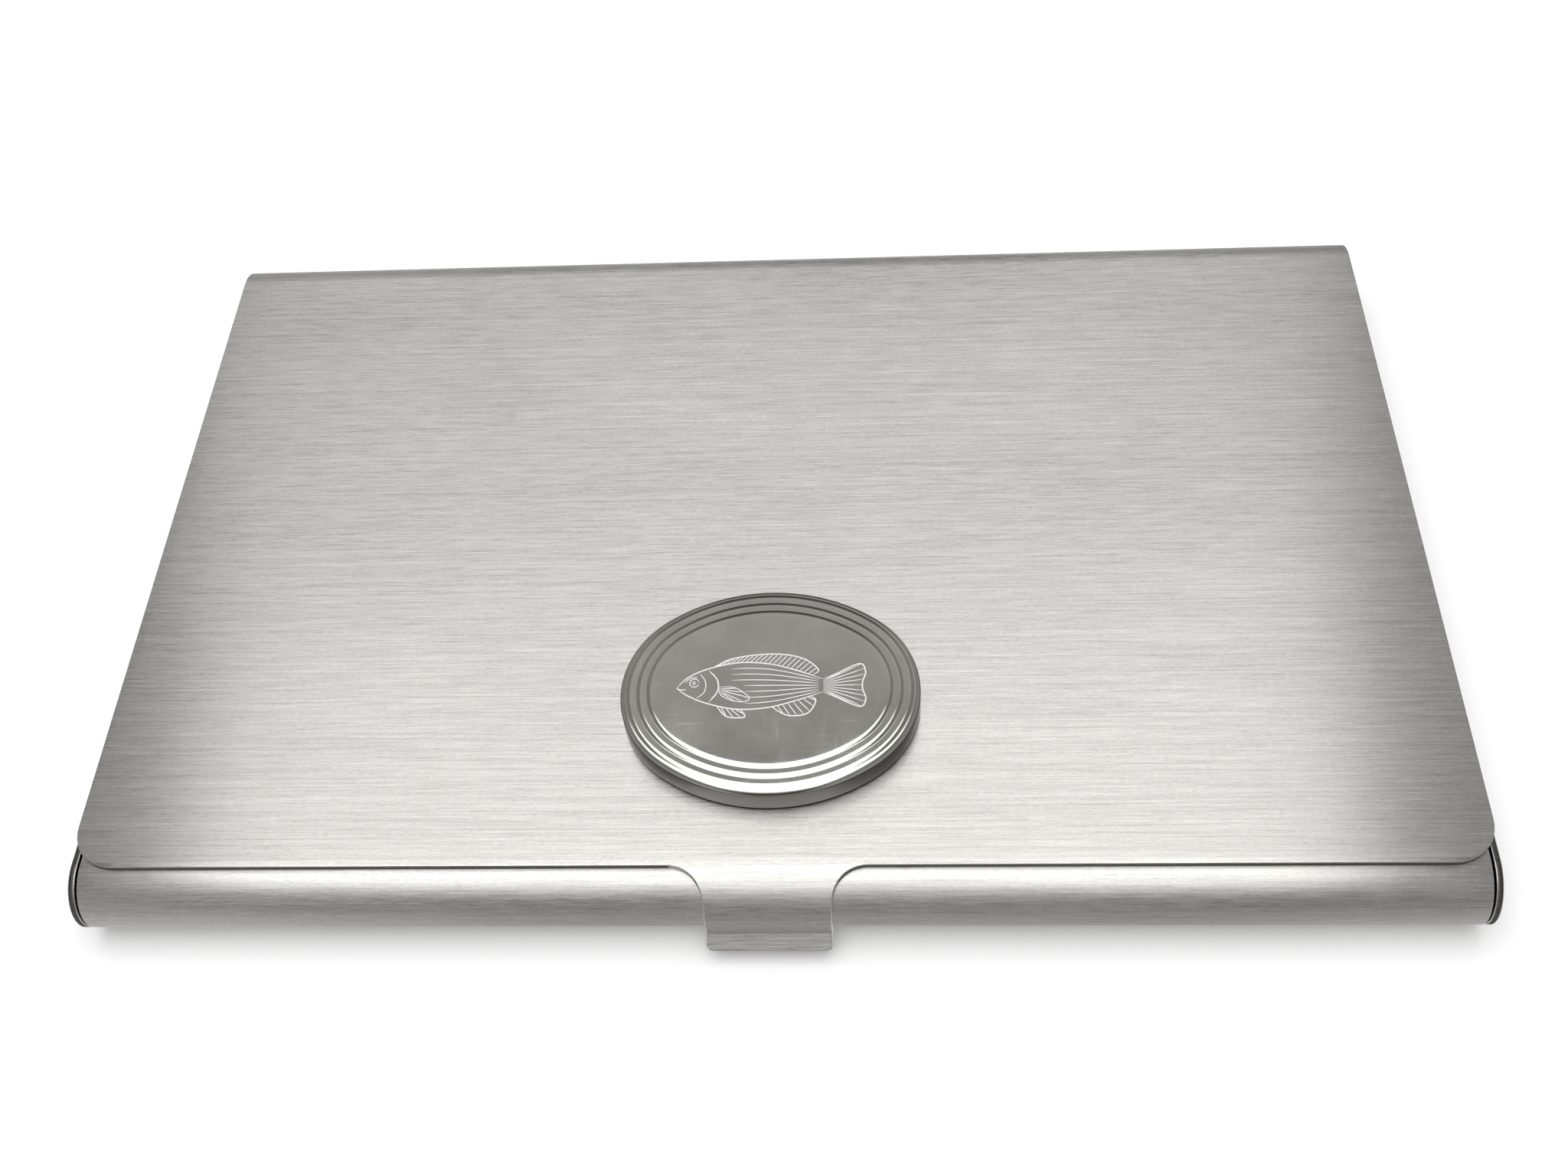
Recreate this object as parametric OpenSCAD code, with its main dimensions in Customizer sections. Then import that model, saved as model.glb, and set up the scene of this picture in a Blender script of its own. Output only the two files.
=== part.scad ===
// Flat hinged card case in brushed sheet steel, with an oval medallion on its lid.
// X runs across the case, Y from the thumb tab (-Y) to the hinge (+Y), Z up from the underside.
// The origin is under the middle of the case's own box.

/* [Case] */
// Width across the two side plates
case_w = 93; // [80:0.1:112]
// Depth from the rolled front of the tray to the back of the hinge roll
case_d = 60.6; // [54:0.1:80]
// Height from the underside to the top of the closed lid
case_h = 6.35; // [6:0.05:9]
// Thickness of the sheet steel
sheet_t = 0.45; // [0.35:0.05:0.55]

/* [Tray] */
// Air between the tray's top edges and the underside of the closed lid
lid_seat_gap = 0.05; // [0.03:0.01:0.15]
// Outer radius of the bend between the floor and a side plate
side_bend_r = 0.85; // [0.7:0.05:1.2]
// Slot between each end of the rolled front and the inside of its side plate
slot_w = 0.14; // [0.08:0.01:0.2]
// Where that slot ends at the bottom of the rolled front, in degrees below its foremost line
slot_reach = 25; // [0:5:60]
// Length of the flat strip behind the rolled front, which carries the lid
nose_flat = 1.2; // [0.6:0.1:2]

/* [Lid] */
// How far the lid's front edge lies behind the tray's rolled front
lid_setback = 2.43; // [1.6:0.01:2.8]
// Radius of the lid's two front corners
lid_corner_r = 3; // [1:0.25:6]
// Width of the thumb tab
tab_w = 8.3; // [5:0.1:14]
// Radius where the tab runs out into the lid's front edge
tab_fillet_r = 2.4; // [1.5:0.1:2.4]
// Length of the straight below the tab's bend, down to the crease
tab_drop = 0.7; // [0.4:0.05:1.2]
// Length of the flared lip below the crease
lip_len = 1.2; // [0.8:0.05:1.8]
// How far the lip flares out from the vertical, in degrees
lip_flare = 45; // [30:1:60]
// Radius of the lip's two corners
lip_corner_r = 0.4; // [0.2:0.05:0.8]

/* [Hinge] */
// How far the hinge roll curls on past straight down, in degrees
roll_reach = 20; // [5:1:20]
// How far short of the side plates' lower edge the roll's full width stops when open, in degrees
roll_notch = 6; // [3:1:15]
// Air between the hinge roll and what it turns in
roll_gap = 0.2; // [0.15:0.01:0.3]
// How far the lid opens, in degrees
open_angle = 110; // [95:1:115]
// Radius of the hinge pins
pin_r = 0.8; // [0.6:0.05:1.1]
// Radial running clearance of the pins in the lid's ears
pin_clearance = 0.05; // [0.02:0.01:0.1]
// Radius of the pins' inner heads
pin_head_r = 1.5; // [1.3:0.05:2]
// Thickness of the pins' inner heads
pin_head_t = 0.35; // [0.25:0.05:0.6]
// Sideways air on each side of a lid's ear
ear_gap = 0.15; // [0.1:0.01:0.3]

/* [Snap spring] */
// Width of the spring strip along the hinge
spring_w = 64; // [40:1:76]
// Depth of the spring strip's flat foot
spring_d = 6; // [5:0.5:9]
// Thickness of the spring steel
spring_t = 0.25; // [0.2:0.05:0.35]
// Width of each of the two fingers
finger_w = 9; // [5:0.5:14]
// Outer radius of the fingers' bends
finger_bend_r = 0.8; // [0.6:0.05:0.9]
// Air between the fingers and the roll's edge when the lid is fully open
stop_gap = 0.05; // [0.03:0.01:0.1]
// Radius of the rivets that hold the spring
rivet_r = 0.8; // [0.6:0.05:1]
// Radius of the rivet heads
rivet_head_r = 1.5; // [1.3:0.05:2]
// Thickness of the rivet heads
rivet_head_t = 0.3; // [0.2:0.05:0.5]
// From the foot's front edge to the rivet heads
rivet_edge = 0.4; // [0.2:0.1:0.8]

/* [Medallion] */
// Length of the oval medallion
medal_w = 20.4; // [16:0.1:26]
// Depth of the oval medallion
medal_d = 16.3; // [13:0.1:20]
// How much smaller than half the depth the radius of the oval's ends is
end_tightness = 1; // [0.6:0.1:1.4]
// Thickness of the medallion
medal_t = 2.3; // [1.6:0.05:3]
// From the lid's front edge back to the medallion's centre
medal_setback = 12; // [11:0.25:30]
// Distance from one ring groove to the next
groove_pitch = 0.7; // [0.55:0.05:0.8]
// Width of the ring grooves
groove_w = 0.3; // [0.15:0.05:0.4]
// Depth of the ring grooves
groove_depth = 0.2; // [0.1:0.05:0.4]
// Thickness of the adhesive under the medallion
glue_t = 0.25; // [0.15:0.05:0.5]
// How far the adhesive stays in from the medallion's edge
glue_inset = 0.2; // [0.1:0.1:1.5]

/* [Hidden] */
$fn = 96;

steel = [0.72, 0.72, 0.70];
spring_steel = [0.58, 0.58, 0.58];
polished = [0.50, 0.49, 0.46];
adhesive = [0.10, 0.10, 0.10];

// Small overlap between volumes that are joined
eps = 0.01;
ring_count = 3;

// Rounds a worked-out place to a micrometre, so that faces that meet share one number
function on_grid(value) = round(value * 1000) / 1000;

// The rolled front, which is as high as the tray
base_h = case_h - sheet_t - lid_seat_gap;
nose_r = base_h / 2;

// The thumb tab, wrapped round the rolled front
tab_in_r = nose_r + lid_seat_gap;
tab_out_r = tab_in_r + sheet_t;
lip_y = on_grid(lip_len * sin(lip_flare));
lip_z = on_grid(lip_len * cos(lip_flare));
tab_proud = tab_out_r - nose_r + lip_y;

// Places along Y, centred on the box from the lip's tip to the back of the roll
front_y = on_grid(tab_proud - (case_d + tab_proud) / 2);
back_y = front_y + case_d;
nose_y = front_y + nose_r;
lid_front_y = front_y + lid_setback;
tab_root_x = tab_w / 2 + tab_fillet_r;

// The hinge: the roll turns round the pins at its own centre
roll_r = case_h / 2;
roll_in_r = roll_r - sheet_t;
pivot_y = back_y - roll_r;
pivot_z = case_h - roll_r;
// The side plates' rear ends, which the full width of the roll passes over
knuckle_r = roll_in_r - roll_gap;
roll_wide_to = open_angle - 90 + roll_notch;
sweep_r = roll_r + roll_gap;
side_in_x = case_w / 2 - sheet_t;
bend_x = case_w / 2 - side_bend_r;
nose_end_x = side_in_x - slot_w;
ear_out_x = side_in_x - ear_gap;
ear_in_x = ear_out_x - sheet_t;

// The floor and the side bends end where the roll's sweep cuts the bends' upper edge
floor_back_y = on_grid(pivot_y - sqrt(pow(sweep_r, 2) - pow(pivot_z - side_bend_r, 2)));

// The spring's fingers stand just ahead of the sweep and reach in over it, as stops
// for the edge of the roll, which stands at stop_angle when the lid is fully open
finger_x = (spring_w - finger_w) / 2;
finger_y = pivot_y - sweep_r - spring_t;
stop_angle = 270 - roll_reach - open_angle;
finger_top_z = on_grid(pivot_z + roll_r * sin(stop_angle) + stop_gap + spring_t);
finger_tip_y = on_grid(pivot_y + roll_in_r * cos(stop_angle));
rivet_y = floor_back_y - spring_d + rivet_edge + rivet_head_r;

// The medallion: a four-arc oval, whose parallel curves share its centres
medal_y = lid_front_y + medal_setback;
glue_z = case_h;
medal_z = glue_z + glue_t;
half_w = medal_w / 2;
half_d = medal_d / 2;
end_r = half_d - end_tightness;
side_r = (pow(half_w, 2) + pow(half_d, 2) - 2 * half_w * end_r) / (2 * end_tightness);
end_x = half_w - end_r;
side_y = side_r - half_d;
joint_angle = atan2(side_y, end_x);

// Turns a profile drawn in X and Y into the case's Y and Z, and its Z into X
module across() {
    rotate([90, 0, 90]) children();
}

// Turns a section round the X axis; start is 0 rearward, 90 upward or 270 downward, and turn
// goes on from there, forward over the top where it is positive. The section is drawn with
// the distance from the axis along X and the place across the case along Y.
module revolve(y, z, start, turn) {
    translate([0, y, z])
        across()
            rotate([0, 0, start])
                mirror([0, turn < 0 ? 1 : 0, 0])
                    rotate_extrude(angle = abs(turn)) children();
}

// Curved sheet of even width round the X axis
module bent_sheet(y, z, in_r, thickness, start, turn, width) {
    revolve(y, z, start, turn)
        translate([in_r, -width / 2]) square([thickness, width]);
}

// Oval outline, moved inwards by inset
module oval(inset = 0) {
    join_x = end_x + (end_r - inset) * cos(joint_angle);
    union() {
        intersection() {
            translate([0, -side_y]) circle(r = side_r - inset);
            translate([0, side_y]) circle(r = side_r - inset);
            square([2 * join_x, medal_d + 1], center = true);
        }
        for (side = [-1, 1])
            translate([side * end_x, 0]) circle(r = end_r - inset);
    }
}

// Floor, rolled front and the flat strip behind it, seen from the side
module middle_profile() {
    translate([nose_y, nose_r])
        intersection() {
            difference() {
                circle(r = nose_r);
                circle(r = nose_r - sheet_t);
            }
            translate([-2 * nose_r, -nose_r - 1]) square([2 * nose_r, 2 * nose_r + 2]);
        }
    translate([nose_y, 0]) square([floor_back_y - nose_y, sheet_t]);
    translate([nose_y, base_h - sheet_t]) square([nose_flat, sheet_t]);
}

// Bend and side plate on the right, up to a height above the floor's outer face
module side_section(plate_end) {
    translate([bend_x, side_bend_r]) quarter_ring(side_bend_r - sheet_t, sheet_t, 270);
    translate([side_in_x, side_bend_r]) square([sheet_t, plate_end - side_bend_r]);
}

// Right side plate with its bend, and the end of the rolled front beside it
module side_plate() {
    translate([0, floor_back_y, 0])
        rotate([90, 0, 0]) linear_extrude(floor_back_y - nose_y) side_section(base_h);
    revolve(nose_y, nose_r, 270, slot_reach - 90)
        translate([nose_r, 0]) rotate([0, 0, 90]) side_section(nose_r);
    revolve(nose_y, nose_r, 90, 90 + slot_reach) {
        translate([0, side_in_x]) square([nose_r, sheet_t]);
        translate([nose_r - sheet_t, bend_x - eps]) square([sheet_t, nose_end_x - bend_x + eps]);
    }
    translate([bend_x - eps, nose_y, base_h - sheet_t])
        cube([nose_end_x - bend_x + eps, nose_flat, sheet_t]);
    translate([side_in_x, 0, 0])
        across()
            linear_extrude(sheet_t) {
                translate([floor_back_y - eps, side_bend_r])
                    square([pivot_y - floor_back_y + eps, base_h - side_bend_r]);
                intersection() {
                    translate([pivot_y, pivot_z]) circle(r = knuckle_r);
                    translate([pivot_y - knuckle_r, side_bend_r]) square([2 * knuckle_r, case_h]);
                }
            }
}

module base_tray() {
    color(steel)
        difference() {
            union() {
                across() linear_extrude(2 * bend_x, center = true) middle_profile();
                side_plate();
                mirror([1, 0, 0]) side_plate();
            }
            pin_hole(pin_r);
            for (side = [-1, 1])
                translate([side * finger_x, rivet_y, -1]) cylinder(r = rivet_r, h = sheet_t + 2);
        }
}

// Hole for both hinge pins, right across the case
module pin_hole(hole_r) {
    translate([0, pivot_y, pivot_z])
        rotate([0, 90, 0]) cylinder(r = hole_r, h = case_w + 2, center = true);
}

// Pin through the right side plate and the lid's ear, flush outside, with its head inside
module hinge_pin() {
    head_x = ear_in_x - ear_gap;
    color(spring_steel)
        translate([0, pivot_y, pivot_z])
            rotate([0, 90, 0]) {
                translate([0, 0, head_x - eps]) cylinder(r = pin_r, h = case_w / 2 - head_x + eps);
                translate([0, 0, head_x - pin_head_t]) cylinder(r = pin_head_r, h = pin_head_t);
            }
}

// One finger, from the foot up and in over the hinge roll's sweep
module finger(foot_back_y) {
    bend_in_r = finger_bend_r - spring_t;
    foot_bend_z = sheet_t + finger_bend_r;
    top_bend_y = finger_y + finger_bend_r;
    top_bend_z = finger_top_z - finger_bend_r;
    bent_sheet(foot_back_y, foot_bend_z, bend_in_r, spring_t, 270, 90, finger_w);
    translate([-finger_w / 2, finger_y, foot_bend_z - eps])
        cube([finger_w, spring_t, top_bend_z - foot_bend_z + 2 * eps]);
    bent_sheet(top_bend_y, top_bend_z, bend_in_r, spring_t, 90, 90, finger_w);
    translate([-finger_w / 2, top_bend_y - eps, finger_top_z - spring_t])
        cube([finger_w, finger_tip_y - top_bend_y + eps, spring_t]);
}

// Quarter of a flat ring, from one angle on by 90 degrees
module quarter_ring(in_r, thickness, from_angle) {
    rotate(from_angle)
        intersection() {
            difference() {
                circle(r = in_r + thickness);
                circle(r = in_r);
            }
            square(in_r + thickness + 1);
        }
}

module snap_spring() {
    foot_front_y = floor_back_y - spring_d;
    foot_back_y = finger_y + spring_t - finger_bend_r;
    color(spring_steel)
        difference() {
            union() {
                translate([-spring_w / 2, foot_front_y, sheet_t])
                    cube([spring_w, foot_back_y - foot_front_y + eps, spring_t]);
                for (side = [-1, 1])
                    translate([side * finger_x, 0, 0]) finger(foot_back_y);
            }
            for (side = [-1, 1])
                translate([side * finger_x, rivet_y, 0]) cylinder(r = rivet_r, h = case_h);
        }
}

// Rivet through the floor and the spring's foot, flush below, with its head inside
module spring_rivet() {
    head_z = sheet_t + spring_t;
    color(steel)
        translate([finger_x, rivet_y, 0]) {
            cylinder(r = rivet_r, h = head_z + eps);
            translate([0, 0, head_z]) cylinder(r = rivet_head_r, h = rivet_head_t);
        }
}

// Outline of the lid and its tab seen from above
module lid_plan() {
    translate([-case_w / 2, lid_front_y + lid_corner_r]) square([case_w, case_d]);
    translate([lid_corner_r - case_w / 2, lid_front_y])
        square([case_w - 2 * lid_corner_r, case_d]);
    for (side = [-1, 1])
        translate([side * (case_w / 2 - lid_corner_r), lid_front_y + lid_corner_r])
            circle(r = lid_corner_r);
    difference() {
        translate([-tab_root_x, lid_front_y - case_d]) square([2 * tab_root_x, case_d + eps]);
        for (side = [-1, 1])
            translate([side * tab_root_x, lid_front_y - tab_fillet_r]) {
                circle(r = tab_fillet_r);
                translate([-tab_fillet_r, -case_d]) square([2 * tab_fillet_r, case_d]);
            }
    }
}

// Straight below the tab's bend and the flared lip, seen from the side
module lip_profile() {
    crease_z = nose_r - tab_drop;
    outer_y = nose_y - tab_out_r;
    inner_y = nose_y - tab_in_r;
    thick_y = sheet_t * cos(lip_flare);
    thick_z = sheet_t * sin(lip_flare);
    polygon([
        [inner_y, nose_r], [outer_y, nose_r], [outer_y, crease_z],
        [outer_y - lip_y, crease_z - lip_z],
        [outer_y - lip_y + thick_y, crease_z - lip_z - thick_z],
        [inner_y, crease_z - sheet_t * tan(lip_flare / 2)]
    ]);
}

// Outline of the straight and the lip, seen square to the lip, with its free edge at 0
module lip_blank() {
    translate([-tab_w / 2, lip_corner_r]) square([tab_w, case_h]);
    translate([lip_corner_r - tab_w / 2, 0]) square([tab_w - 2 * lip_corner_r, case_h]);
    for (side = [-1, 1])
        translate([side * (tab_w / 2 - lip_corner_r), lip_corner_r]) circle(r = lip_corner_r);
}

module lip() {
    intersection() {
        across() linear_extrude(tab_w + 2, center = true) lip_profile();
        translate([0, nose_y - tab_out_r - lip_y, nose_r - tab_drop - lip_z])
            rotate([90 - lip_flare, 0, 0])
                linear_extrude(case_h, center = true) lip_blank();
    }
}

// Right-hand ear inside the side plate, rooted in the roll and in the lid's underside
module lid_ear() {
    ear_r = roll_in_r + sheet_t / 2;
    translate([ear_in_x, 0, 0])
        across()
            linear_extrude(sheet_t) {
                translate([pivot_y, pivot_z]) circle(r = ear_r);
                translate([pivot_y - roll_in_r, pivot_z]) square([roll_in_r, ear_r]);
            }
}

// Right-hand end of the roll, over the side plate's knuckle
module roll_end() {
    end_w = case_w / 2 - ear_out_x;
    translate([ear_out_x + end_w / 2, 0, 0])
        bent_sheet(pivot_y, pivot_z, roll_in_r, sheet_t, 90, roll_wide_to - 90, end_w);
}

module lid_shell() {
    color(steel)
        difference() {
            union() {
                intersection() {
                    union() {
                        translate([-case_w / 2, nose_y, case_h - sheet_t])
                            cube([case_w, pivot_y - nose_y, sheet_t]);
                        bent_sheet(nose_y, nose_r, tab_in_r, sheet_t, 90, 90, case_w);
                    }
                    linear_extrude(case_h + 1) lid_plan();
                }
                lip();
                bent_sheet(pivot_y, pivot_z, roll_in_r, sheet_t, 90, -180 - roll_reach, 2 * ear_out_x);
                for (side = [0, 1])
                    mirror([side, 0, 0]) {
                        roll_end();
                        lid_ear();
                    }
            }
            pin_hole(pin_r + pin_clearance);
        }
}

module medallion() {
    color(polished)
        translate([0, medal_y, medal_z])
            difference() {
                linear_extrude(medal_t) oval();
                for (ring = [1 : ring_count])
                    translate([0, 0, medal_t - groove_depth])
                        linear_extrude(groove_depth + 1)
                            difference() {
                                oval(ring * groove_pitch - groove_w / 2);
                                oval(ring * groove_pitch + groove_w / 2);
                            }
            }
}

module medallion_adhesive() {
    color(adhesive)
        translate([0, medal_y, glue_z]) linear_extrude(glue_t) oval(glue_inset);
}

base_tray();
mirror([1, 0, 0]) hinge_pin();  // hinge_pin_left
hinge_pin();  // hinge_pin_right
snap_spring();
mirror([1, 0, 0]) spring_rivet();  // spring_rivet_left
spring_rivet();  // spring_rivet_right
lid_shell();
medallion();
medallion_adhesive();
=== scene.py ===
"""Looks of a hinged business card case in brushed sheet steel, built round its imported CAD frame.

Everything is in metres in the frame's own axes: X across the case, -Y towards the thumb tab, Z up.
"""
import bpy
import bmesh
import math
from mathutils import Euler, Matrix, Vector


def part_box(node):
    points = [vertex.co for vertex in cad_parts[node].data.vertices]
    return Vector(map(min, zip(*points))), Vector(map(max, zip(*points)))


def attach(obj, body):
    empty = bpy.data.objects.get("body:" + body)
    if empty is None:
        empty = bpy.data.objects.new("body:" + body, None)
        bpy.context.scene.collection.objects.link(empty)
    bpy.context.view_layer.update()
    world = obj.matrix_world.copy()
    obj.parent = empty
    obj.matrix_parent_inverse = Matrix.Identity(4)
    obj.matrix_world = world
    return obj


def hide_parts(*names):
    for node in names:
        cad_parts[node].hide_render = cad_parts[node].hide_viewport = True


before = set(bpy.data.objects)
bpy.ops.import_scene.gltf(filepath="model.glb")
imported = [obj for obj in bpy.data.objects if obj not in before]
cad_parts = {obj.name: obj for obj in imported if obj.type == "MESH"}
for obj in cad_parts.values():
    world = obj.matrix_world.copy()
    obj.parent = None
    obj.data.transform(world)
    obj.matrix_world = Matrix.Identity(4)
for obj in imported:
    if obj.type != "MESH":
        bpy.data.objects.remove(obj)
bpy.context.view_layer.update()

MM = 0.001
MERGE = 0.0002 * MM          # points nearer than this are one point
FLAT = math.radians(1)       # faces that meet at less are one face
SHARP = math.radians(35)     # edges that turn more are rounded, or shaded hard
SIDEWAYS = 0.7               # X of a normal: beyond this a face belongs to a side plate

# The sheet metal, and the rounding of its deburred edges
SHEET_THICK = 0.45 * MM
SHEET_EDGE = 0.07 * MM
SPRING_EDGE = 0.05 * MM
RIVET_EDGE = 0.1 * MM
MOSTLY = 0.9                 # share of a cut face's outline that lies beside roundings
CUTS = (0.02, 0.035, 0.07, 0.2, 0.42)  # shares of the width, from each end, where long faces are divided

# How much a face belongs to an edge
ROUNDING, CUT, CUT_FROM, ROUNDING_FROM = 1.0, 0.5, 0.25, 0.75

# The medallion: an oval of four arcs, whose parallel curves share its centres
END_TIGHTNESS = 1.0 * MM
OVAL_STEPS = 240
PLATE_FOOT = 0.3 * MM        # rounding at the foot of the wall
RIM_EDGE = 0.4 * MM          # rounding at the top of the wall
RINGS = [0.80 * MM, 1.50 * MM, 2.20 * MM]  # how far in from the oval each ring's shoulder starts
RING_ROUND = 0.36 * MM       # width of a shoulder
RING_ROOT = 0.03 * MM        # width of the flat at its foot
RING_DROP = 0.09 * MM
RING_RISE = 0.015 * MM
RING_STEPS = 8
FIELD_SUNK = 0.02 * MM
FIELD_STEPS = (0.3 * MM, 1 * MM, 2 * MM, 3 * MM, 4 * MM)  # inner ovals of the flat field
DOWNWARD, UPWARD = -0.2, 0.3  # Z of a normal: the foot lies below the first, the wall between the two
# How much the foot and the wall are darkened with painted shade, and made rougher
FOOT_SHADE_AND_ROUGHNESS, WALL_SHADE_AND_ROUGHNESS = 1.0, 0.85
GLUE_BULGE = 0.12 * MM

# The engraving's lines: half their widths, and their height
LINE = 0.055 * MM
FINE_LINE = 0.04 * MM
LINE_HEIGHT = 0.012 * MM

# Where a noise texture's values mostly lie
NOISE = (0.3, 0.7)


# ---------------------------------------------------------------- pieces

def add_piece(name, mesh, body, material, nodes=()):
    """Puts a mesh in the scene as a piece that rides on a body, in place of some CAD nodes."""
    piece = bpy.data.objects.new(name, mesh)
    bpy.context.scene.collection.objects.link(piece)
    mesh.materials.append(material)
    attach(piece, body)
    if nodes:
        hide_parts(*nodes)
    normals = piece.modifiers.new("even_normals", "WEIGHTED_NORMAL")
    normals.keep_sharp = True
    return piece


def mark_grain(bm):
    """Gives every face a UV map whose U runs along the brushing: across the case, or up a side plate."""
    grain = bm.loops.layers.uv.new("grain")
    for face in bm.faces:
        n = face.normal
        for loop in face.loops:
            x, y, z = loop.vert.co
            if abs(n.x) > SIDEWAYS:
                loop[grain].uv = (z, y)
            else:
                loop[grain].uv = (x, n.z * y - n.y * z)


def finish_mesh(bm, name):
    """Turns a bmesh into a smooth-shaded mesh, with hard shading only in its inner corners."""
    bmesh.ops.recalc_face_normals(bm, faces=bm.faces)
    mark_grain(bm)
    for face in bm.faces:
        face.smooth = True
    for edge in bm.edges:
        edge.smooth = not (edge.is_manifold and edge.calc_face_angle() > SHARP)
    mesh = bpy.data.meshes.new(name)
    bm.to_mesh(mesh)
    bm.free()
    return mesh


def is_cut_face(face, strips):
    """Whether a face is the cut edge of the sheet: narrow, and beside roundings on both sides."""
    bordered = [e for e in face.edges if any(other in strips for other in e.link_faces)]
    share = sum(e.calc_length() for e in bordered) / face.calc_perimeter()
    if share > MOSTLY:
        return 2 * face.calc_area() / face.calc_perimeter() < SHEET_THICK
    if len(face.verts) != 4 or len(bordered) != 2:
        return False
    a, b = [(e.verts[0].co + e.verts[1].co) / 2 for e in bordered]
    return (a - b).length < SHEET_THICK and not set(bordered[0].verts) & set(bordered[1].verts)


def eased_mesh(node, edge_r):
    """The node's own mesh with its outer edges rounded. Its faces carry how much they belong to an
    edge, and its long faces are divided, so that shading at an end doesn't reach the other."""
    bm = bmesh.new()
    bm.from_mesh(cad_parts[node].data)
    edge = bm.faces.layers.float.new("edge")
    bmesh.ops.remove_doubles(bm, verts=bm.verts, dist=MERGE)
    bmesh.ops.dissolve_limit(bm, angle_limit=FLAT, verts=bm.verts, edges=bm.edges)
    outer = [e for e in bm.edges if e.is_manifold and e.is_convex and e.calc_face_angle() > SHARP]
    strips = set(bmesh.ops.bevel(bm, geom=outer, offset=edge_r, segments=3, profile=0.5,
                                 affect="EDGES", clamp_overlap=False)["faces"])
    cut = [face for face in bm.faces if face not in strips and is_cut_face(face, strips)]
    for face in strips:
        face[edge] = ROUNDING
    for face in cut:
        face[edge] = CUT
    low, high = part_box(node)
    width = high.x - low.x
    for share in CUTS:
        for x in (low.x + width * share, high.x - width * share):
            bmesh.ops.bisect_plane(bm, geom=bm.verts[:] + bm.edges[:] + bm.faces[:], dist=MERGE,
                                   plane_co=(x, 0, 0), plane_no=(1, 0, 0))
    for vert in bm.verts:
        vert.co = [min(max(value, a), b) for value, a, b in zip(vert.co, low, high)]
    return finish_mesh(bm, node)


# ---------------------------------------------------------------- medallion

medal_low, medal_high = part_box("medallion")
medal_middle = (medal_low + medal_high) / 2
glue_low, glue_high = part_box("medallion_adhesive")


def oval_point(inset, turn):
    """A point of the oval, moved in by inset, where its outward normal points along turn."""
    half_w = (medal_high.x - medal_low.x) / 2
    half_d = (medal_high.y - medal_low.y) / 2
    end_r = half_d - END_TIGHTNESS
    side_r = (half_w ** 2 + half_d ** 2 - 2 * half_w * end_r) / (2 * END_TIGHTNESS)
    end_x, side_y = half_w - end_r, side_r - half_d
    joint = math.atan2(side_y, end_x)
    out = Vector((math.cos(turn), math.sin(turn)))
    if abs(out.x) > math.cos(joint):
        return Vector((math.copysign(end_x, out.x), 0)) + out * (end_r - inset)
    return Vector((0, -math.copysign(side_y, out.y))) + out * (side_r - inset)


def oval_body(bm, profile):
    """A closed solid with oval rings at each (inset, height) of the profile, from below to the top."""
    rings = []
    for inset, z in profile:
        ring = []
        for i in range(OVAL_STEPS):
            p = oval_point(inset, 2 * math.pi * i / OVAL_STEPS)
            ring.append(bm.verts.new((medal_middle.x + p.x, medal_middle.y + p.y, z)))
        rings.append(ring)
    for low, high in zip(rings, rings[1:]):
        for i in range(OVAL_STEPS):
            j = (i + 1) % OVAL_STEPS
            bm.faces.new((low[i], low[j], high[j], high[i]))
    bm.faces.new(list(reversed(rings[0])))
    bm.faces.new(rings[-1])


def rounded_foot(z, radius, steps=6):
    """Profile points of a quarter round from a flat underside at z up to the wall."""
    turns = [math.pi / 2 * i / steps for i in range(steps + 1)]
    return [(radius * (1 - math.sin(a)), z + radius * (1 - math.cos(a))) for a in turns]


def rounded_rim(z, radius, steps=10):
    """Profile points of a quarter round from the wall to a flat top at z."""
    turns = [math.pi / 2 * (1 + i / steps) for i in range(steps + 1)]
    return [(radius * (1 - math.sin(a)), z - radius * (1 + math.cos(a))) for a in turns]


def ring_steps():
    """Profile points of the rings from the field outwards, and the rim's height. Each ring falls in a
    round shoulder, then rises slowly."""
    points = []
    level = medal_high.z - FIELD_SUNK
    for ring in reversed(RINGS):
        for i in range(RING_STEPS + 1):
            share = i / RING_STEPS
            points.append((ring - RING_ROUND * share, level - RING_DROP * share ** 2))
        level -= RING_DROP
        points.append((ring - RING_ROUND - RING_ROOT, level))
        level += RING_RISE
    return points, level


def medallion_mesh():
    """The plate, whose faces carry how much painted shade darkens them and how much rougher they are: its
    foot most, then its upright wall.
    """
    rings, rim_level = ring_steps()
    profile = rounded_foot(medal_low.z, PLATE_FOOT) + rounded_rim(rim_level, RIM_EDGE)
    profile += reversed(rings)
    profile += [(RINGS[-1] + step, medal_high.z - FIELD_SUNK) for step in FIELD_STEPS]
    bm = bmesh.new()
    oval_body(bm, profile)
    bm.normal_update()
    wall = bm.faces.layers.float.new("wall")
    # Foot and wall faces get values that darken them with painted shade and make them rougher
    for face in bm.faces:
        if face.normal.z < DOWNWARD:
            face[wall] = FOOT_SHADE_AND_ROUGHNESS
        elif face.normal.z < UPWARD:
            face[wall] = WALL_SHADE_AND_ROUGHNESS
    return finish_mesh(bm, "medallion_plate")


def adhesive_mesh():
    """The pad of adhesive, squeezed out a little in its middle height."""
    bm = bmesh.new()
    edge = glue_low.x - medal_low.x
    height = glue_high.z - glue_low.z
    levels = [0, 0.15, 0.35, 0.5, 0.65, 0.85, 1]
    profile = [(edge - GLUE_BULGE * math.sin(math.pi * t), glue_low.z + height * t) for t in levels]
    oval_body(bm, profile)
    return finish_mesh(bm, "adhesive_pad")


# ---------------------------------------------------------------- engraving

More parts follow.
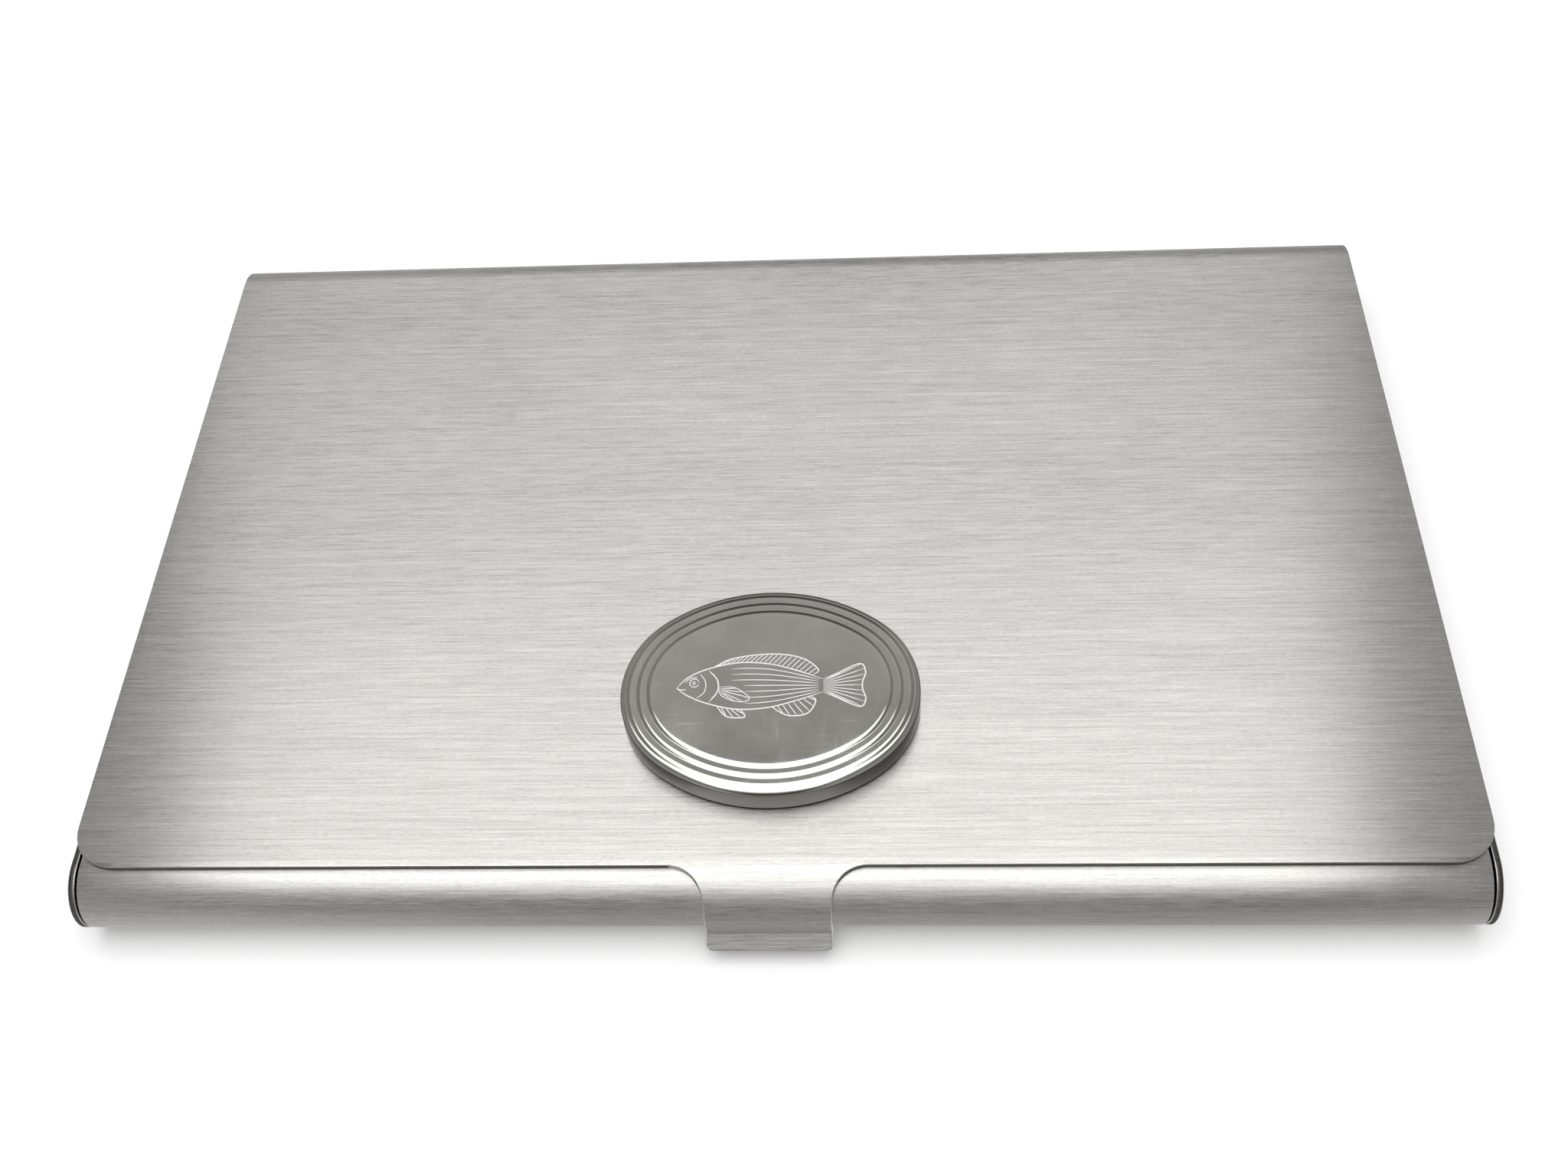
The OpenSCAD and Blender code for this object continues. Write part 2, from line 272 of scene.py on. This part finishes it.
def spline(points, steps=8):
    """A smooth line through the points."""
    ends = [points[0]] + list(points) + [points[-1]]
    line = []
    for a, b, c, d in zip(ends, ends[1:], ends[2:], ends[3:]):
        for i in range(steps):
            t = i / steps
            line.append(tuple(0.5 * (2 * q + (r - p) * t + (2 * p - 5 * q + 4 * r - s) * t * t
                                     + (3 * q - p - 3 * r + s) * t ** 3)
                              for p, q, r, s in zip(a, b, c, d)))
    return line + [tuple(points[-1])]


def along(line, t):
    """The point at a share t of a line's length."""
    lengths = [math.dist(a, b) for a, b in zip(line, line[1:])]
    left = t * sum(lengths)
    for (a, b), length in zip(zip(line, line[1:]), lengths):
        if left <= length:
            return tuple(p + (q - p) * left / length for p, q in zip(a, b))
        left -= length
    return tuple(line[-1])


def stroke(bm, line, half_width):
    """One engraved line as a slim closed solid, in mm from the medallion's middle, tapered at its ends."""
    floor = medal_high.z - FIELD_SUNK
    count = len(line)
    rings = []
    for i, point in enumerate(line):
        before, after = Vector(line[max(0, i - 1)]), Vector(line[min(count - 1, i + 1)])
        across = (after - before).normalized()
        across = Vector((-across.y, across.x))
        share = i / (count - 1)
        width = half_width * min(1, 0.25 + 5 * share, 0.25 + 5 * (1 - share))
        ring = []
        for side, rise in ((-1, -0.4), (-0.7, 0.8), (0, 1), (0.7, 0.8), (1, -0.4)):
            place = Vector(point) * MM + across * width * side
            ring.append(bm.verts.new((medal_middle.x + place.x, medal_middle.y + place.y,
                                      floor + LINE_HEIGHT * rise)))
        rings.append(ring)
    for a, b in zip(rings, rings[1:]):
        for i in range(5):
            j = (i + 1) % 5
            bm.faces.new((a[i], a[j], b[j], b[i]))
    bm.faces.new(list(reversed(rings[0])))
    bm.faces.new(rings[-1])


# A plain reef fish, facing left, in mm from the middle of the medallion
BACK = spline([(-6.3, -0.1), (-5.6, 0.72), (-4.3, 1.42), (-2.2, 1.92), (0, 1.8), (2, 1.2), (3.6, 0.55)])
BELLY = spline([(-6.3, -0.1), (-5.5, -0.7), (-4.2, -1.3), (-2.2, -1.78), (0, -1.66), (2, -1.08),
                (3.6, -0.48)])
TAIL = spline([(3.6, 0.55), (4.5, 0.95), (6.1, 1.75), (6.5, 1.1), (6.3, 0.3), (6.3, -0.3), (6.5, -1.05),
               (6.1, -1.65), (4.5, -0.9), (3.6, -0.48)])
DORSAL = spline([(-3.7, 1.62), (-2.9, 2.15), (-1.4, 2.5), (0.6, 2.6), (2.3, 2.2), (3.3, 1.3), (2.9, 0.88)])
ANAL = spline([(0.2, -1.64), (1.3, -2.3), (2.6, -2.15), (3.15, -1.2), (2.8, -0.8)])
PELVIC = spline([(-3.5, -1.52), (-2.8, -2.35), (-1.6, -2.4), (-1.9, -1.8)])
PECTORAL = spline([(-3.35, 0.0), (-2.3, -0.1), (-1.35, -0.85), (-1.7, -1.2), (-2.6, -1.05), (-3.3, -0.6),
                   (-3.35, 0.0)])
GILL = spline([(-4.15, 1.3), (-3.55, 0.55), (-3.5, -0.35), (-4.05, -1.2)])
CHEEK = spline([(-4.75, 1.05), (-4.35, 0.4), (-4.4, -0.4), (-4.9, -0.9)])
BROW = spline([(-5.75, 0.35), (-5.35, 0.72), (-4.9, 0.75)])
MOUTH = spline([(-6.3, -0.1), (-5.95, -0.22), (-5.65, -0.2)])
TAIL_ROOT = [(3.65, 0.42), (3.65, -0.36)]
PECTORAL_ROOT = [(-3.3, -0.15), (-3.3, -0.45)]
EYE, EYE_R, PUPIL_R = (-5.1, 0.32), 0.32, 0.1
STRIPES = 7                       # lines along the body
STRIPE_START, STRIPE_END = 0.40, 0.975  # as shares of the back's and belly's length
STRIPE_BEHIND_FIN = 0.48          # where the lower ones start, clear of the fin


def rays(bm, root, rim, count, root_span, rim_span):
    """Fin rays between two lines, evenly spaced over a span of each."""
    for i in range(count):
        t = i / (count - 1)
        a = along(root, root_span[0] + (root_span[1] - root_span[0]) * t)
        b = along(rim, rim_span[0] + (rim_span[1] - rim_span[0]) * t)
        stroke(bm, [a, along([a, b], 0.25), along([a, b], 0.5), along([a, b], 0.75), b], FINE_LINE)


def ring_line(centre, radius, steps=20):
    return [(centre[0] + radius * math.cos(2 * math.pi * i / steps),
             centre[1] + radius * math.sin(2 * math.pi * i / steps)) for i in range(steps + 1)]


def fish_mesh():
    bm = bmesh.new()
    for line in (BACK, BELLY, TAIL, DORSAL, ANAL, PELVIC, GILL):
        stroke(bm, line, LINE)
    for line in (PECTORAL, CHEEK, BROW, MOUTH, ring_line(EYE, EYE_R), ring_line(EYE, PUPIL_R, 10)):
        stroke(bm, line, FINE_LINE)
    rays(bm, BACK, DORSAL, 22, (0.28, 0.9), (0.06, 0.9))
    rays(bm, BELLY, ANAL, 8, (0.66, 0.9), (0.12, 0.88))
    rays(bm, BELLY, PELVIC, 5, (0.3, 0.42), (0.2, 0.85))
    rays(bm, TAIL_ROOT, TAIL, 11, (0, 1), (0.26, 0.74))
    rays(bm, PECTORAL_ROOT, PECTORAL, 5, (0, 1), (0.22, 0.66))
    for i in range(1, STRIPES + 1):
        share = i / (STRIPES + 1)
        start = STRIPE_START if share < 0.5 else STRIPE_BEHIND_FIN
        stripe = []
        for j in range(9):
            t = start + (STRIPE_END - start) * j / 8
            stripe.append(tuple(a + (b - a) * share for a, b in zip(along(BACK, t), along(BELLY, t))))
        stroke(bm, spline(stripe, steps=4), FINE_LINE)
    return finish_mesh(bm, "fish_lines")


# ---------------------------------------------------------------- materials

class Nodes:
    """Short calls for building one material's nodes. Noise scales are per metre."""

    def __init__(self, name):
        self.material = bpy.data.materials.new(name)
        self.material.use_nodes = True
        self.tree = self.material.node_tree
        self.shader = self.tree.nodes["Principled BSDF"]

    def add(self, kind, **inputs):
        """A node with some inputs set to values or linked to outputs."""
        node = self.tree.nodes.new(kind)
        for name, value in inputs.items():
            self.put(node, name.replace("_", " "), value)
        return node

    def put(self, node, name, value):
        socket = node.inputs[name]
        if isinstance(value, bpy.types.NodeSocket):
            self.tree.links.new(value, socket)
        else:
            socket.default_value = value

    def maths(self, operation, a, b=0.0):
        node = self.tree.nodes.new("ShaderNodeMath")
        node.operation = operation
        self.put(node, 0, a)
        self.put(node, 1, b)
        return node.outputs[0]

    def noise(self, place, scale, detail, roughness):
        node = self.add("ShaderNodeTexNoise", Vector=place, Scale=scale, Detail=detail,
                        Roughness=roughness)
        return node.outputs["Fac"]

    def streaks(self, place, lengthwise, across):
        """A noise stretched along X."""
        return self.noise(self.mapped(place, (lengthwise, across, across)), 1.0, 1.0, 0.5)

    def mapped(self, place, scale, rotation=(0, 0, 0)):
        return self.add("ShaderNodeMapping", Vector=place, Scale=scale, Rotation=rotation).outputs["Vector"]

    def range(self, value, low, high, from_low=0.0, from_high=1.0):
        """A value brought from one range to another."""
        node = self.tree.nodes.new("ShaderNodeMapRange")
        for name, number in (("Value", value), ("From Min", from_low), ("From Max", from_high),
                             ("To Min", low), ("To Max", high)):
            self.put(node, name, number)
        return node.outputs["Result"]

    def mix(self, share, a, b, blend_type="MIX"):
        """Two colours or places combined."""
        node = self.tree.nodes.new("ShaderNodeMix")
        node.data_type = "RGBA"
        node.blend_type = blend_type
        self.put(node, 0, share)
        self.put(node, 6, a)
        self.put(node, 7, b)
        return node.outputs[2]

    def scaled_colour(self, colour, factor):
        """A colour made lighter or darker by a factor that varies over the surface."""
        grey = self.tree.nodes.new("ShaderNodeCombineColor")
        for channel in ("Red", "Green", "Blue"):
            self.put(grey, channel, factor)
        return self.mix(1.0, (*colour, 1), grey.outputs[0], "MULTIPLY")

    def place(self):
        return self.tree.nodes.new("ShaderNodeTexCoord").outputs["Object"]

    def grain_place(self):
        """Object coordinates whose X runs along the brushing, also on the side plates."""
        place = self.add("ShaderNodeSeparateXYZ", Vector=self.place()).outputs
        turned = self.add("ShaderNodeCombineXYZ", X=place[2], Y=place[1], Z=place[0]).outputs[0]
        facing = self.tree.nodes.new("ShaderNodeTexCoord").outputs["Normal"]
        facing = self.add("ShaderNodeSeparateXYZ", Vector=facing).outputs[0]
        side = self.maths("GREATER_THAN", self.maths("ABSOLUTE", facing), SIDEWAYS)
        return self.mix(side, self.place(), turned)

    def attribute(self, name):
        node = self.tree.nodes.new("ShaderNodeAttribute")
        node.attribute_name = name
        return node.outputs["Fac"]

    def bump(self, height, distance):
        return self.add("ShaderNodeBump", Height=height, Distance=distance, Strength=1.0).outputs["Normal"]

    def grain_tangent(self):
        node = self.tree.nodes.new("ShaderNodeTangent")
        node.direction_type = "UV_MAP"
        node.uv_map = "grain"
        return node.outputs["Tangent"]

    def shade(self, **inputs):
        for name, value in inputs.items():
            self.put(self.shader, name.replace("_", " "), value)
        return self.material


def brushed_steel(name, colour, roughness, anisotropy, grain_depth):
    """Sheet steel brushed along its grain, with faint clouds, rougher cut faces darkened with painted shade,
    and rubbed edges.
    """
    n = Nodes(name)
    place = n.grain_place()
    short = n.streaks(place, 2600, 17000)
    middle = n.streaks(place, 500, 13000)
    long = n.streaks(place, 100, 10000)
    cloud = n.noise(n.mapped(place, (25, 70, 70)), 1.0, 3.0, 0.5)
    grain = n.maths("DIVIDE", n.maths("ADD", n.maths("ADD", short, middle), long), 3.0)
    edge = n.attribute("edge")
    rubbed = n.maths("GREATER_THAN", edge, ROUNDING_FROM)
    cut = n.maths("MULTIPLY", n.maths("GREATER_THAN", edge, CUT_FROM), n.maths("SUBTRACT", 1.0, rubbed))
    light = n.maths("MULTIPLY", n.range(grain, 0.72, 1.24, *NOISE), n.range(cloud, 0.97, 1.03, *NOISE))
    # Cut faces are darkened to a quarter: painted shade for the dark shadow line along the sheet's cut
    # edges. Their extra roughness below is their real dullness.
    light = n.maths("MULTIPLY", light, n.maths("SUBTRACT", 1.0, n.maths("MULTIPLY", cut, 0.75)))
    rough = n.maths("ADD", n.range(middle, roughness - 0.02, roughness + 0.02, *NOISE),
                    n.range(cloud, -0.015, 0.015, *NOISE))
    rough = n.maths("ADD", rough, n.maths("MULTIPLY", cut, 0.15))
    rough = n.maths("SUBTRACT", rough, n.maths("MULTIPLY", rubbed, 0.05))
    return n.shade(Base_Color=n.scaled_colour(colour, light), Metallic=1.0, Roughness=rough,
                   Anisotropic=anisotropy, Anisotropic_Rotation=0.25, Tangent=n.grain_tangent(),
                   Normal=n.bump(long, grain_depth))


def polished_steel(name, colour):
    """Mirror-polished plate with hairline scratches and a faint haze, and a rougher wall darkened with
    painted shade, most at its foot.
    """
    n = Nodes(name)
    place = n.place()
    hairs = n.noise(n.mapped(place, (300, 12000, 12000), (0, 0, 0.5)), 1.0, 2.0, 0.5)
    crossing = n.noise(n.mapped(place, (11000, 350, 11000), (0, 0, 0.3)), 1.0, 2.0, 0.5)
    scratches = n.maths("MAXIMUM", hairs, crossing)
    haze = n.noise(place, 260.0, 4.0, 0.55)
    wall = n.attribute("wall")
    rough = n.maths("ADD", n.range(haze, 0.09, 0.15, *NOISE), n.range(scratches, 0.0, 0.08, 0.6, 0.8))
    rough = n.maths("ADD", rough, n.maths("MULTIPLY", wall, 0.2))
    # The wall values darken the colour: painted shade on the upright wall, darkest at the foot where the
    # shadow line under the plate lies
    light = n.maths("MULTIPLY", n.range(haze, 0.93, 1.05, *NOISE), n.range(wall, 1.0, 0.2))
    return n.shade(Base_Color=n.scaled_colour(colour, light), Metallic=1.0, Roughness=rough,
                   Normal=n.bump(scratches, 0.0004 * MM))


def etched_steel(name):
    """The matt white surface of an engraved line."""
    n = Nodes(name)
    grit = n.noise(n.place(), 9000.0, 3.0, 0.6)
    shade = n.scaled_colour((0.93, 0.93, 0.92), n.range(grit, 0.82, 1.05, *NOISE))
    return n.shade(Base_Color=shade, Metallic=0.55, Roughness=n.range(grit, 0.55, 0.8, *NOISE),
                   Normal=n.bump(grit, 0.01 * MM))


def rubbery_adhesive(name):
    """A near-black, lumpy pad, whose darkness is also painted shade for the shadow line under the plate."""
    n = Nodes(name)
    lumps = n.noise(n.place(), 1500.0, 4.0, 0.6)
    # Near black: the pad's own dark colour, made darker as painted shade for the shadow line under the plate
    shade = n.scaled_colour((0.03, 0.03, 0.03), n.range(lumps, 0.6, 1.5, *NOISE))
    return n.shade(Base_Color=shade, Roughness=n.range(lumps, 0.6, 0.85, *NOISE),
                   Normal=n.bump(lumps, 0.03 * MM))


def paper(name):
    """The floor's nearly white matt paper."""
    n = Nodes(name)
    fibre = n.noise(n.place(), 900.0, 5.0, 0.6)
    shade = n.scaled_colour((0.92, 0.92, 0.92), n.range(fibre, 0.99, 1.0, *NOISE))
    return n.shade(Base_Color=shade, Roughness=0.95, Specular_IOR_Level=0.1)


# ---------------------------------------------------------------- the case

sheet = brushed_steel("brushed_sheet", (0.70, 0.69, 0.66), 0.29, 1.0, 0.00003 * MM)
spring = brushed_steel("spring_steel", (0.50, 0.50, 0.505), 0.38, 0.7, 0.0004 * MM)
turned = brushed_steel("pin_steel", (0.62, 0.615, 0.60), 0.34, 0.5, 0.0004 * MM)
polished = polished_steel("polished_plate", (0.60, 0.585, 0.535))
etched = etched_steel("etched_lines")
adhesive = rubbery_adhesive("adhesive")

add_piece("tray_sheet", eased_mesh("base_tray", SHEET_EDGE), "tray", sheet, ["base_tray"])
add_piece("lid_sheet", eased_mesh("lid_shell", SHEET_EDGE), "lid", sheet, ["lid_shell"])
add_piece("spring_strip", eased_mesh("snap_spring", SPRING_EDGE), "tray", spring,
          ["snap_spring"])
for side in ("left", "right"):
    for part in ("hinge_pin", "spring_rivet"):
        node = part + "_" + side
        add_piece(node + "_turned", eased_mesh(node, RIVET_EDGE), "tray", turned, [node])
add_piece("medallion_plate", medallion_mesh(), "lid", polished, ["medallion"])
add_piece("adhesive_pad", adhesive_mesh(), "lid", adhesive, ["medallion_adhesive"])
add_piece("fish_lines", fish_mesh(), "lid", etched)


# ---------------------------------------------------------------- studio

def floor_mesh(half):
    """A square that reaches half its width to each side."""
    bm = bmesh.new()
    bmesh.ops.create_grid(bm, x_segments=8, y_segments=8, size=half)
    mesh = bpy.data.meshes.new("floor")
    bm.to_mesh(mesh)
    bm.free()
    return mesh


def area_light(name, place, aim, size, radiance, in_reflections=True):
    """A soft panel that shines as brightly as radiance, whatever its size."""
    light = bpy.data.lights.new(name, "AREA")
    light.shape = "RECTANGLE"
    light.size, light.size_y = size
    light.energy = radiance * math.pi * size[0] * size[1]
    panel = bpy.data.objects.new(name, light)
    panel.location = place
    panel.rotation_euler = (Vector(aim) - Vector(place)).to_track_quat("-Z", "Y").to_euler()
    panel.visible_camera = False
    panel.visible_glossy = in_reflections
    bpy.context.scene.collection.objects.link(panel)


def sky(front, back, sides):
    """Grey surroundings, which pass smoothly from one direction to the next. Each has its own
    (height, brightness) pairs, from straight below at 0 to straight overhead at 1."""
    world = bpy.data.worlds.new("studio")
    bpy.context.scene.world = world
    world.use_nodes = True
    tree = world.node_tree
    background = tree.nodes["Background"]
    background.inputs["Color"].default_value = (1, 1, 1, 1)
    place = tree.nodes.new("ShaderNodeTexCoord")
    split = tree.nodes.new("ShaderNodeSeparateXYZ")
    tree.links.new(place.outputs["Generated"], split.inputs[0])

    def share(axis, low, high):
        node = tree.nodes.new("ShaderNodeMapRange")
        node.inputs["From Min"].default_value, node.inputs["From Max"].default_value = low, high
        tree.links.new(axis, node.inputs["Value"])
        return node.outputs["Result"]

    def level(pairs):
        node = tree.nodes.new("ShaderNodeFloatCurve")
        points = node.mapping.curves[0].points
        points[0].location, points[1].location = pairs[0], pairs[-1]
        for pair in pairs[1:-1]:
            points.new(*pair)
        tree.links.new(share(split.outputs["Z"], -1, 1), node.inputs["Value"])
        return node.outputs["Value"]

    def mix(amount, a, b):
        node = tree.nodes.new("ShaderNodeMix")
        for socket, value in ((0, amount), (2, a), (3, b)):
            tree.links.new(value, node.inputs[socket])
        return node.outputs[0]

    sideways = tree.nodes.new("ShaderNodeMath")
    sideways.operation = "ABSOLUTE"
    tree.links.new(split.outputs["X"], sideways.inputs[0])
    lengthwise = mix(share(split.outputs["Y"], -0.1, 0.5), level(front), level(back))
    strength = mix(share(sideways.outputs[0], 0.2, 0.5), lengthwise, level(sides))
    tree.links.new(strength, background.inputs["Strength"])


FLOOR_HALF = 2.0
PANEL_HEIGHT, PANEL_X, PANEL_Y = 0.45, -0.035, -0.08   # the panel lies level, a little to the left and front
PANEL_SIZE, PANEL_RADIANCE = (0.41, 0.56), 1.75
FILL_HEIGHT, FILL_SIZE, FILL_RADIANCE = 1.6, (3.0, 3.0), 0.9

floor = bpy.data.objects.new("floor", floor_mesh(FLOOR_HALF))
bpy.context.scene.collection.objects.link(floor)
floor.data.materials.append(paper("paper"))
floor.visible_glossy = False

overhead = [(0.89, 0.52), (0.95, 0.28), (1, 0.28)]
sky(front=[(0, 0.5), (0.35, 0.3), (0.5, 0.06), (0.7, 0.1)] + overhead,
    back=[(0, 0.9), (0.35, 0.85), (0.45, 0.2), (0.6, 0.08), (0.75, 0.15)] + overhead,
    sides=[(0, 0.9), (0.4, 0.5), (0.6, 0.35), (0.85, 0.26), (1, 0.2)])
area_light("key", (PANEL_X, PANEL_Y, PANEL_HEIGHT), (PANEL_X, PANEL_Y, 0), PANEL_SIZE, PANEL_RADIANCE)
area_light("floor_fill", (0, 0, FILL_HEIGHT), (0, 0, 0), FILL_SIZE, FILL_RADIANCE, in_reflections=False)

CAMERA_PLACE = Vector((7.734, -74.553, 102.436)) * MM
CAMERA_TURN = Euler([math.radians(angle) for angle in (35.835, 3.265, 1.353)], "XYZ")

camera = bpy.data.cameras.new("camera")
camera.lens, camera.sensor_width = 37.69, 36
camera.clip_start = 5 * MM
camera_object = bpy.data.objects.new("camera", camera)
camera_object.location = CAMERA_PLACE
camera_object.rotation_euler = CAMERA_TURN
bpy.context.scene.collection.objects.link(camera_object)
bpy.context.scene.camera = camera_object
bpy.context.scene.view_settings.view_transform = "Standard"
